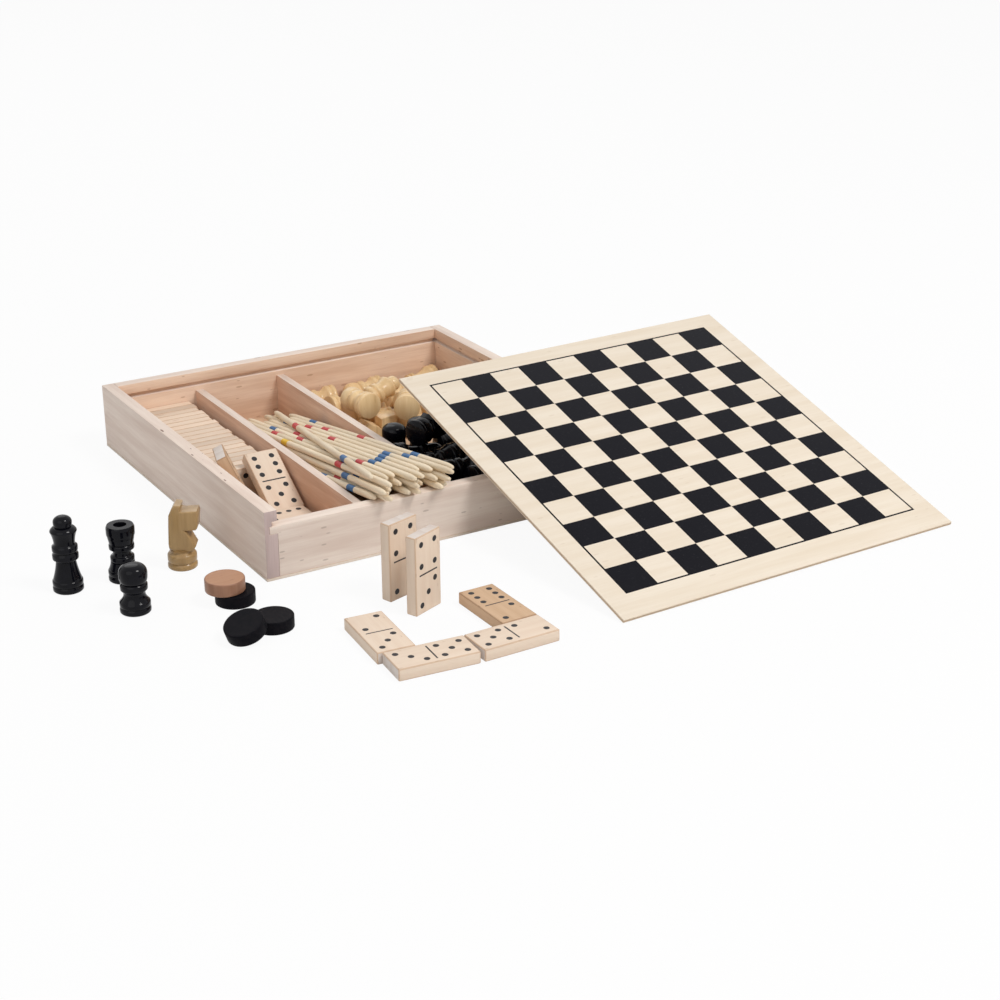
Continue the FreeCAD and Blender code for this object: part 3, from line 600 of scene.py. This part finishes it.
def lid_frame():
    """The lid's own frame: X across it, Y up its slope, Z out of its printed face, and its sizes."""
    points, triangles = solids_of("lid_board")[0]
    faces = flat_faces(points, triangles)
    normal = Vector(max(faces[:2], key=lambda face: face[2][2])[2])
    across = Vector(min((face[2] for face in faces[2:6]), key=lambda way: abs(way[2]) - way[0]))
    axes = (across, normal.cross(across), normal)
    sizes = [reach_along(points, axis) for axis in axes]
    middle = sum((axis * middle_along(points, axis) for axis in axes), Vector())
    return middle - normal * sizes[2] / 2, axes, sizes


def lid_finish(thickness):
    """Pale plywood with the printed squares and the frame line on top, and ply layers at the edges."""
    shader = Shader("lid_ply_printed")
    colour, fibres = wood_colour(shader, LID_LIGHT, LID_DARK, LID_FLECK, "X", OWN_MM, LID_FLECK_SHARE, 0.0)
    position = shader.node("ShaderNodeSeparateXYZ")
    shader.link(shader.node("ShaderNodeTexCoord").outputs["Object"], position.inputs[0])
    half = BOARD_SQUARES * BOARD_PITCH / 2
    line = FRAME_LINE / BOARD_PITCH

    def squares_along(axis, shift):
        return shader.math("DIVIDE", shader.math("ADD", position.outputs[axis], shift), BOARD_PITCH)

    def within(value, margin):
        return shader.math("MULTIPLY", shader.math("GREATER_THAN", value, -margin),
                           shader.math("LESS_THAN", value, BOARD_SQUARES + margin))

    across = squares_along("X", half)
    upward = squares_along("Y", half - BOARD_RISE)
    inside = shader.math("MULTIPLY", within(across, 0.0), within(upward, 0.0))
    framed = shader.math("MULTIPLY", within(across, line), within(upward, line))
    steps = shader.math("ADD", shader.math("FLOOR", across), shader.math("FLOOR", upward))
    dark_square = shader.math("LESS_THAN", shader.math("FLOORED_MODULO", steps, 2.0), 0.5)
    printed = shader.math("MAXIMUM", shader.math("MULTIPLY", inside, dark_square),
                          shader.math("SUBTRACT", framed, inside))
    on_top = shader.math("GREATER_THAN", position.outputs["Z"], thickness - PRINT_DEPTH)
    printed = shader.math("MULTIPLY", printed, on_top)

    pores = shader.noise(shader.place((0.35, 5.0, 5.0)), 3.0, 0.6)
    blots = shader.noise(shader.place((0.8, 0.8, 0.8)), 4.0, 0.7)
    worn = shader.math("MULTIPLY", shader.ramp(pores, 0.60, 0.74), shader.ramp(blots, 0.42, 0.62))
    ink = shader.mix(shader.math("MULTIPLY", worn, WORN_SHARE), INK_COLOUR, INK_WORN)

    off_middle = shader.math("ABSOLUTE", shader.math("SUBTRACT", position.outputs["Z"], thickness / 2))
    layers = shader.ramp(off_middle, thickness * 0.12, thickness * 0.2)
    edge_colour = shader.mix(layers, LAYER_DARK, LAYER_LIGHT)
    geometry = shader.node("ShaderNodeNewGeometry")
    transform = shader.node("ShaderNodeVectorTransform", vector_type="NORMAL", convert_from="WORLD",
                            convert_to="OBJECT")
    normalised = shader.node("ShaderNodeVectorMath", operation="NORMALIZE")
    facing = shader.node("ShaderNodeSeparateXYZ")
    shader.link(geometry.outputs["True Normal"], transform.inputs[0])
    shader.link(transform.outputs[0], normalised.inputs[0])
    shader.link(normalised.outputs[0], facing.inputs[0])
    flat = shader.math("GREATER_THAN", shader.math("ABSOLUTE", facing.outputs["Z"]), 0.5)

    base = shader.mix(flat, edge_colour, colour)
    shader.finish(Base_Color=shader.mix(printed, base, ink), Roughness=0.6, Specular_IOR_Level=0.08)
    shader.bump(fibres, 0.04)
    return shader.material


lid_origin, lid_axes, lid_sizes = lid_frame()
lid_sheet = Sheet()
lid_sheet.add(*soft_box(*lid_sizes, LID_EDGE))
add_piece("lid_printed_board", "lid_board", lid_sheet.mesh("lid_printed_board"),
          placed(lid_origin, *lid_axes), [lid_finish(lid_sizes[2])])


# Dominoes

tile_points, _ = solids_of("domino_four_three")[0]
_, tile_axes = main_axes(tile_points)
TILE_LENGTH, TILE_WIDTH, TILE_THICKNESS = (reach_along(tile_points, axis) for axis in tile_axes)
TILE_EDGE = 0.55
PIP_RADIUS = 1.55
PIP_LIFT = 0.03
PIP_SPREAD_ACROSS = 5.2
PIP_SPREAD_ALONG = 5.8
BAR_LENGTH = 13.8
BAR_WIDTH = 0.8
BARE = (None, None)
FRONT_TILE_PIPS = (2, 4)
# Material slots of a tile; the edge slot carries painted shade
FACE, INK, SHADED_EDGE, TILE_END = range(4)
PIP_SPOTS = {
    1: ((0, 0),),
    2: ((1, 1), (-1, -1)),
    3: ((1, 1), (0, 0), (-1, -1)),
    4: ((-1, -1), (-1, 1), (1, -1), (1, 1)),
    5: ((-1, -1), (-1, 1), (0, 0), (1, -1), (1, 1)),
    6: ((-1, -1), (-1, 0), (-1, 1), (1, -1), (1, 0), (1, 1)),
}


def disc(radius, middle, height, segments=24):
    """A small flat disc, for a pip."""
    ring = []
    for step in range(segments):
        angle = 2 * math.pi * step / segments
        ring.append((middle[0] + radius * math.cos(angle), middle[1] + radius * math.sin(angle), height))
    return ring, [tuple(range(segments))]


def tile_surface(corners):
    """Which finish a face of a tile gets: its sides, its ends or its rounded edges, which are darker as
    painted shade.
    """
    reach = np.ptp(np.array(corners), axis=0)
    if (reach > 2 * TILE_EDGE).sum() < 2:
        return SHADED_EDGE
    return TILE_END if reach[1] < TILE_EDGE else FACE


def domino_sheet(sheet, first, second, matrix=None):
    """One tile: its first number lies towards +Y, its second towards -Y, and its face looks to +Z."""
    points, faces = soft_box(TILE_WIDTH, TILE_LENGTH, TILE_THICKNESS, TILE_EDGE)
    sheet.add(points, faces, [tile_surface([points[corner] for corner in face]) for face in faces], matrix)
    if first is None:
        return
    face_height = TILE_THICKNESS + PIP_LIFT
    for number, half_way in ((first, 1), (second, -1)):
        for across, along in PIP_SPOTS[number]:
            spot = (across * PIP_SPREAD_ACROSS, half_way * TILE_LENGTH / 4 + along * PIP_SPREAD_ALONG)
            sheet.add(*disc(PIP_RADIUS, spot, face_height), INK, matrix)
    bar = [(across * BAR_LENGTH / 2, along * BAR_WIDTH / 2, face_height)
           for across, along in ((-1, -1), (1, -1), (1, 1), (-1, 1))]
    sheet.add(bar, [(0, 1, 2, 3)], INK, matrix)


def tile_matrix(points, face_way, first_way):
    """A tile's frame, with its face and its first number towards the ways given."""
    middle, axes = main_axes(points)
    normal = axes[2] * (1 if axes[2].dot(face_way) > 0 else -1)
    along = axes[0] * (1 if axes[0].dot(first_way) > 0 else -1)
    return placed(Vector(middle) - normal * TILE_THICKNESS / 2, along.cross(normal), along, normal)


light_tile = [tile_wood, tile_ink, tile_edge_painted_shade, tile_end]
# Tiles that lie in shadow get the brown copies, which are painted shade
shaded_brown_tile = [shaded_brown_tile_wood, tile_ink, shaded_brown_tile_edge, tile_end]
# Each tile's node, its numbers, the way its face looks, the way of its first number, and its materials
TILES = (
    ("domino_four_three", 4, 3, FRONT, UP, light_tile),
    ("domino_four_two", 4, 2, FRONT, UP, light_tile),
    ("domino_two_three", 2, 3, UP, BACK, light_tile),
    ("domino_three_five", 3, 5, UP, LEFT, light_tile),
    ("domino_five_two", 5, 2, UP, LEFT, light_tile),
    ("domino_six_two", 6, 2, UP, BACK, shaded_brown_tile),
    ("domino_six_five", 6, 5, UP, BACK, light_tile),
    ("domino_six_one", 6, 1, UP, RIGHT, light_tile),
    ("domino_three_one", 3, 1, RIGHT, UP, shaded_brown_tile),
)
for tile_node, first, second, face_way, first_way, tile_materials in TILES:
    points, _ = solids_of(tile_node)[0]
    tile = Sheet()
    domino_sheet(tile, first, second)
    add_piece(f"{tile_node}_tile", tile_node, tile.mesh(tile_node),
              tile_matrix(points, face_way, first_way), tile_materials)

row_sheet = Sheet()
row_solids = solids_of("domino_row")
front_tile = min(range(len(row_solids)), key=lambda number: row_solids[number][0][:, 1].mean())
for number, (points, _) in enumerate(row_solids):
    pips = FRONT_TILE_PIPS if number == front_tile else BARE
    domino_sheet(row_sheet, *pips, to_millimetres @ tile_matrix(points, FRONT, RIGHT))
add_piece("domino_row_tiles", "domino_row", row_sheet.mesh("domino_row"), from_millimetres,
          [row_wood, tile_ink, tile_edge_painted_shade, tile_end])


# Pick-up sticks: each band's place is a share of the length from the back end

BAND = 8.0
STICK_TAPER = 7.0
TIP_SHARE = 0.6
TIP_END_SHARE = 0.7
TIP_ROUNDING = 0.5
TAPER_SWELL = 0.54
STICK_SEGMENTS = 20
STICK_SHARP_DEGREES = 60
RANK_BANDS = {
    "stick_mikado": ((0.14, "blue"), (0.32, "blue"), (0.50, "blue"), (0.68, "blue"), (0.86, "blue")),
    "sticks_mandarin": ((0.20, "blue"), (0.40, "red"), (0.60, "blue"), (0.80, "red")),
    "sticks_bonze": ((0.17, "blue"), (0.48, "red"), (0.80, "blue")),
    "sticks_samurai": ((0.30, "yellow"), (0.68, "red")),
    "sticks_coolie": ((0.25, "red"), (0.75, "blue")),
}
BAND_COLOURS = {"wood": 0, "blue": 1, "red": 2, "yellow": 3}


def stick_profile(length, radius, bands):
    """Profile and ring colours of a banded stick."""
    tip_radius = radius * TIP_SHARE
    stops = {
        0.0: tip_radius * TIP_END_SHARE,
        TIP_ROUNDING: tip_radius,
        STICK_TAPER / 2: (tip_radius + radius) * TAPER_SWELL,
        STICK_TAPER: radius,
    }
    stops.update({length - stop: value for stop, value in stops.items()})
    spans = []
    for share, colour in bands:
        low = share * length - BAND / 2
        spans.append((low, low + BAND, colour))
        stops[low] = radius
        stops[low + BAND] = radius
    heights = sorted(stops)
    colours = []
    for low, high in zip(heights, heights[1:]):
        middle = (low + high) / 2
        colour = next((colour for start, end, colour in spans if start < middle < end), "wood")
        colours.append(BAND_COLOURS[colour])
    return [(stops[height], height) for height in heights], colours + [BAND_COLOURS["wood"]]


for stick_node, bands in RANK_BANDS.items():
    stick_sheet = Sheet()
    for points, _ in solids_of(stick_node):
        middle, axes = main_axes(points)
        along = axes[0] * (1 if axes[0].y < 0 else -1)
        length = reach_along(points, along)
        profile, colours = stick_profile(length, reach_along(points, axes[1]) / 2, bands)
        matrix = upright_matrix(Vector(middle) - along * length / 2, along)
        stick_sheet.add(*turned(profile, STICK_SEGMENTS, colours), matrix)
    add_piece(f"{stick_node}_banded", stick_node, stick_sheet.mesh(stick_node, STICK_SHARP_DEGREES),
              from_millimetres, [stick_wood, stick_blue, stick_red, stick_yellow])


# Draughts

DRAUGHT_EDGE = 0.6
DRAUGHT_EDGE_STEPS = 4
DISH_SHARE = 0.86
DISH_RIM_DEPTH = 0.02
DISH_DEPTH = 0.12
RIM_SHARE = 0.9
DRAUGHT_SEGMENTS = 64


def draught_profile(radius, thickness):
    """Profile of a draught with rounded rims and a faint dish."""
    profile = [(AXIS_RADIUS, 0.0)]
    for centre_height, start in ((DRAUGHT_EDGE, -90), (thickness - DRAUGHT_EDGE, 0)):
        for step in range(DRAUGHT_EDGE_STEPS + 1):
            angle = math.radians(start + 90 * step / DRAUGHT_EDGE_STEPS)
            profile.append((radius - DRAUGHT_EDGE + DRAUGHT_EDGE * math.cos(angle),
                            centre_height + DRAUGHT_EDGE * math.sin(angle)))
    profile.append((radius * DISH_SHARE, thickness - DISH_RIM_DEPTH))
    profile.append((AXIS_RADIUS, thickness - DISH_DEPTH))
    return profile


natural_draught = [draught_wood, draught_rim]
black_draught = [black_satin, black_satin]
DRAUGHTS = {
    "draught_natural_upper": natural_draught,
    "draught_black_under": black_draught,
    "draught_black_flat": black_draught,
    "draught_black_leaning": black_draught,
    "draughts_natural": natural_draught,
    "draughts_black": black_draught,
}
for draught_node, draught_materials in DRAUGHTS.items():
    draught_sheet = Sheet()
    for points, triangles in solids_of(draught_node):
        low, top = sorted((face[1] for face in flat_faces(points, triangles)[:2]), key=lambda spot: spot[2])
        thickness = (Vector(top) - Vector(low)).length
        axis = (Vector(top) - Vector(low)).normalized()
        radius = float(np.linalg.norm(np.cross(points - low, np.array(axis)), axis=1).max())
        profile = draught_profile(radius, thickness)
        on_rim = [ring_radius > RIM_SHARE * radius for ring_radius, _ in profile]
        rings = [int(lower and upper) for lower, upper in zip(on_rim, on_rim[1:])]
        draught_sheet.add(*turned(profile, DRAUGHT_SEGMENTS, rings + [0]), upright_matrix(Vector(low), axis))
    add_piece(f"{draught_node}_turned", draught_node, draught_sheet.mesh(draught_node), from_millimetres,
              draught_materials)


# Chess men: profiles in millimetres, from the foot up

FOOT = bead(0.0, 2.7, 7.3, 7.75) + bead(3.1, 6.1, 7.15, 7.7)
PROFILES = {
    "pawn": FOOT
    + sweep((7.0, 6.3), (5.7, 11.2), -0.8)
    + bead(11.5, 15.4, 6.1, 6.8)
    + crown_of_head(15.7, 25.5, 7.1, 5.7, 2.6),
    "bishop": FOOT
    + sweep((7.0, 6.3), (4.7, 15.2), -0.6)
    + bead(15.5, 18.0, 5.4, 6.3)
    + bead(18.2, 20.4, 5.0, 6.0)
    + crown_of_head(20.6, 32.4, 5.2, 4.2, 2.1),
    "queen": FOOT
    + sweep((7.2, 6.4), (5.0, 16.3), -0.3)
    + bead(16.7, 20.6, 5.7, 6.6)
    + bead(21.1, 24.9, 5.6, 6.5)
    + sweep((5.3, 25.2), (6.8, 32.2), -0.35)
    + sweep((6.8, 32.2), (5.0, 34.4), 0.4)
    + crown_of_head(34.5, 40.4, 4.75, 4.2, 2.0),
    "king": FOOT
    + sweep((7.2, 6.4), (5.2, 17.3), -0.3)
    + bead(17.7, 21.6, 5.9, 6.8)
    + bead(22.1, 25.9, 5.8, 6.7)
    + sweep((5.4, 26.2), (7.0, 35.6), -0.35)
    + sweep((7.0, 35.6), (5.4, 37.6), 0.4)
    + sweep((5.0, 37.9), (1.6, 41.6), 0.9)
    + crown_of_head(41.7, 44.9, 1.9, 1.3, 2.0),
    "rook": FOOT
    + sweep((7.2, 6.4), (6.1, 10.4), -0.2)
    + bead(10.6, 13.6, 5.6, 6.15)
    + sweep((4.9, 13.9), (4.9, 16.6), -0.25)
    + bead(16.9, 20.2, 5.6, 6.5)
    + sweep((6.2, 20.5), (6.8, 23.6), 0.0)
    + bead(23.9, 30.1, 6.7, 7.3)
    + [(3.4, 30.1), (3.3, 29.9), (3.2, 27.4)],
    "knight": bead(0.0, 2.8, 7.2, 7.7)
    + bead(3.2, 8.2, 6.9, 7.6)
    + sweep((6.2, 8.5), (6.4, 10.4), -0.5),
}
# Outline of the knight's head, as shares of its length from the man's axis and of its height
KNIGHT_HEAD = (
    (-0.19, 0.00), (-0.35, 0.08), (-0.36, 0.16), (-0.33, 0.54), (-0.305, 0.77), (-0.21, 0.90), (-0.11, 0.99),
    (0.09, 0.975), (0.06, 0.86), (0.13, 0.845), (0.585, 0.865), (0.62, 0.79), (0.575, 0.505), (0.52, 0.455),
    (0.17, 0.445), (0.245, 0.40), (0.49, 0.10), (0.395, 0.00),
)
KNIGHT_HEAD_LENGTH = 16.4
KNIGHT_HEAD_HEIGHT = 25.7
KNIGHT_HEAD_LOW = 10.2
KNIGHT_HEAD_THICKNESS = 10.2
KNIGHT_EDGE = 0.7
NECK_MARGIN = 0.5
MAN_SEGMENTS = 56
MAN_SHARP_DEGREES = 50


def knight_head():
    """The carved head: a flat profile with rounded edges, its muzzle towards +X."""
    grid = bmesh.new()
    rings = []
    for side in (-0.5, 0.5):
        rings.append([grid.verts.new((x * KNIGHT_HEAD_LENGTH, side * KNIGHT_HEAD_THICKNESS,
                                      KNIGHT_HEAD_LOW + z * KNIGHT_HEAD_HEIGHT)) for x, z in KNIGHT_HEAD])
    grid.faces.new(rings[0])
    grid.faces.new(rings[1][::-1])
    for number in range(len(KNIGHT_HEAD)):
        after = (number + 1) % len(KNIGHT_HEAD)
        grid.faces.new((rings[0][after], rings[0][number], rings[1][number], rings[1][after]))
    bmesh.ops.recalc_face_normals(grid, faces=grid.faces[:])
    rims = [edge for edge in grid.edges if abs(edge.verts[0].co.y - edge.verts[1].co.y) < 1e-6]
    bmesh.ops.bevel(grid, geom=rims, offset=KNIGHT_EDGE, segments=3, profile=0.5, affect="EDGES")
    return grid_parts(grid)


def man_matrix(points, triangles):
    """A man's frame: Z from its foot up, and for a knight X towards the muzzle."""
    foot_middle, foot_normal = foot_disc(points, triangles)
    axis = -foot_normal
    broad = Vector(flat_faces(points, triangles)[0][2])
    if abs(broad.dot(axis)) > 0.5:
        side_way = axis.orthogonal().normalized()
    else:
        side_way = broad.cross(axis).normalized()
    offsets = points - np.array(foot_middle)
    upper = offsets[offsets @ np.array(axis) > KNIGHT_HEAD_LOW + NECK_MARGIN]
    if len(upper) and float((upper @ np.array(side_way)).mean()) < 0:
        side_way = -side_way
    return placed(foot_middle, side_way, axis.cross(side_way), axis)


def men_piece(node, name, material):
    """The turned men of one node."""
    sheet = Sheet()
    for points, triangles in solids_of(node):
        matrix = to_millimetres @ man_matrix(points, triangles)
        sheet.add(*turned([(AXIS_RADIUS, 0.0)] + PROFILES[name], MAN_SEGMENTS), matrix)
        if name == "knight":
            sheet.add(*knight_head(), 0, matrix)
    add_piece(f"{node}_turned", node, sheet.mesh(node, MAN_SHARP_DEGREES), from_millimetres, [material])


men_piece("black_queen", "queen", black_gloss)
men_piece("black_rook", "rook", black_gloss)
men_piece("black_pawn", "pawn", black_gloss)
men_piece("natural_knight", "knight", knight_gloss)
for node in nodes:
    if node.endswith("_in_box"):
        colour, man = node.split("_")[:2]
        men_piece(node, man.rstrip("s"), black_gloss if colour == "black" else natural_gloss)


# Floor, light and camera

WHITE = (1, 1, 1)
FLOOR_REACH = 6.0
FLOOR_DROP = 0.0002
FLOOR_GREY = 0.82
FLOOR_GLOW = 0.93
WORLD_STRENGTH = 0.42
# Each lamp's name, place, target, size, power and colour
LAMPS = (
    ("key", (0.5, -1.0, 1.5), (0, -0.05, 0), 0.6, 17.5, (1.0, 0.98, 0.96)),
    ("fill", (-1.2, -0.8, 1.0), (0, -0.05, 0), 1.4, 4, WHITE),
    ("back", (0.2, 1.4, 1.3), (0, 0, 0), 1.2, 5, WHITE),
)
# The camera's place, way and lens were worked out from the corners of the case and the lid in the photo
CAMERA_PLACE = Vector((-0.47498, -0.94764, 0.41571))
CAMERA_YAW = math.radians(30.883)
CAMERA_PITCH = math.radians(22.419)
CAMERA_ROLL = math.radians(-0.275)
CAMERA_LENS = 70.10
CAMERA_SENSOR = 36.0
CAMERA_CLIP = 0.01
METRE = 1.0


def floor_piece():
    """A plain white floor, far larger than the object, that shows faint shadows."""
    mesh = bpy.data.meshes.new("floor")
    corners = [(x * FLOOR_REACH, y * FLOOR_REACH, 0) for x, y in ((-1, -1), (1, -1), (1, 1), (-1, 1))]
    mesh.from_pydata(corners, [], [(0, 1, 2, 3)])
    floor = bpy.data.objects.new("floor", mesh)
    bpy.context.scene.collection.objects.link(floor)
    floor.location.z = -FLOOR_DROP
    shader = Shader("white_floor")
    shader.finish(Base_Color=(FLOOR_GREY, FLOOR_GREY, FLOOR_GREY, 1), Roughness=0.9)
    glow = shader.node("ShaderNodeEmission")
    glow.inputs["Color"].default_value = (*WHITE, 1)
    path = shader.node("ShaderNodeLightPath").outputs
    seen = shader.math("MAXIMUM", shader.math("MAXIMUM", path["Is Camera Ray"], path["Is Glossy Ray"]),
                       path["Is Transmission Ray"])
    blend = shader.node("ShaderNodeMixShader")
    shader.link(shader.math("MULTIPLY", seen, FLOOR_GLOW), blend.inputs["Fac"])
    shader.link(shader.surface.outputs["BSDF"], blend.inputs[1])
    shader.link(glow.outputs[0], blend.inputs[2])
    shader.link(blend.outputs[0], shader.output.inputs["Surface"])
    mesh.materials.append(shader.material)


def soft_light(name, place, target, size, power, colour):
    """A large area light aimed at a point."""
    lamp = bpy.data.lights.new(name, "AREA")
    lamp.shape = "DISK"
    lamp.size = size
    lamp.energy = power
    lamp.color = colour
    light = bpy.data.objects.new(name, lamp)
    bpy.context.scene.collection.objects.link(light)
    light.location = place
    light.rotation_euler = (Vector(target) - Vector(place)).to_track_quat("-Z", "Y").to_euler()


def white_world():
    """Even light on the object, and plain white where the camera, a reflection or glass sees the world."""
    world = bpy.data.worlds.new("studio")
    world.use_nodes = True
    bpy.context.scene.world = world
    tree = world.node_tree
    even = tree.nodes["Background"]
    bright = tree.nodes.new("ShaderNodeBackground")
    for background, strength in ((even, WORLD_STRENGTH), (bright, 1.0)):
        background.inputs["Color"].default_value = (*WHITE, 1)
        background.inputs["Strength"].default_value = strength
    path = tree.nodes.new("ShaderNodeLightPath").outputs
    seen = path["Is Camera Ray"]
    for ray in ("Is Glossy Ray", "Is Transmission Ray"):
        either = tree.nodes.new("ShaderNodeMath")
        either.operation = "MAXIMUM"
        tree.links.new(seen, either.inputs[0])
        tree.links.new(path[ray], either.inputs[1])
        seen = either.outputs[0]
    blend = tree.nodes.new("ShaderNodeMixShader")
    tree.links.new(seen, blend.inputs["Fac"])
    tree.links.new(even.outputs[0], blend.inputs[1])
    tree.links.new(bright.outputs[0], blend.inputs[2])
    tree.links.new(blend.outputs[0], tree.nodes["World Output"].inputs["Surface"])


def photo_camera():
    """The camera that sees the object as the photo does."""
    level_way = Vector((math.sin(CAMERA_YAW), math.cos(CAMERA_YAW), 0))
    looking = level_way * math.cos(CAMERA_PITCH) - UP * math.sin(CAMERA_PITCH)
    level_right = Vector((math.cos(CAMERA_YAW), -math.sin(CAMERA_YAW), 0))
    level_up = level_right.cross(looking)
    right_way = level_right * math.cos(CAMERA_ROLL) + level_up * math.sin(CAMERA_ROLL)
    up_way = level_up * math.cos(CAMERA_ROLL) - level_right * math.sin(CAMERA_ROLL)
    camera_data = bpy.data.cameras.new("camera")
    camera_data.lens = CAMERA_LENS
    camera_data.sensor_width = CAMERA_SENSOR
    camera_data.sensor_fit = "HORIZONTAL"
    camera_data.clip_start = CAMERA_CLIP
    camera = bpy.data.objects.new("camera", camera_data)
    bpy.context.scene.collection.objects.link(camera)
    camera.matrix_world = placed(CAMERA_PLACE, right_way, up_way, -looking, METRE)
    bpy.context.scene.camera = camera


floor_piece()
for lamp_settings in LAMPS:
    soft_light(*lamp_settings)
white_world()
photo_camera()
bpy.context.scene.view_settings.view_transform = "Standard"

bpy.context.view_layer.update()
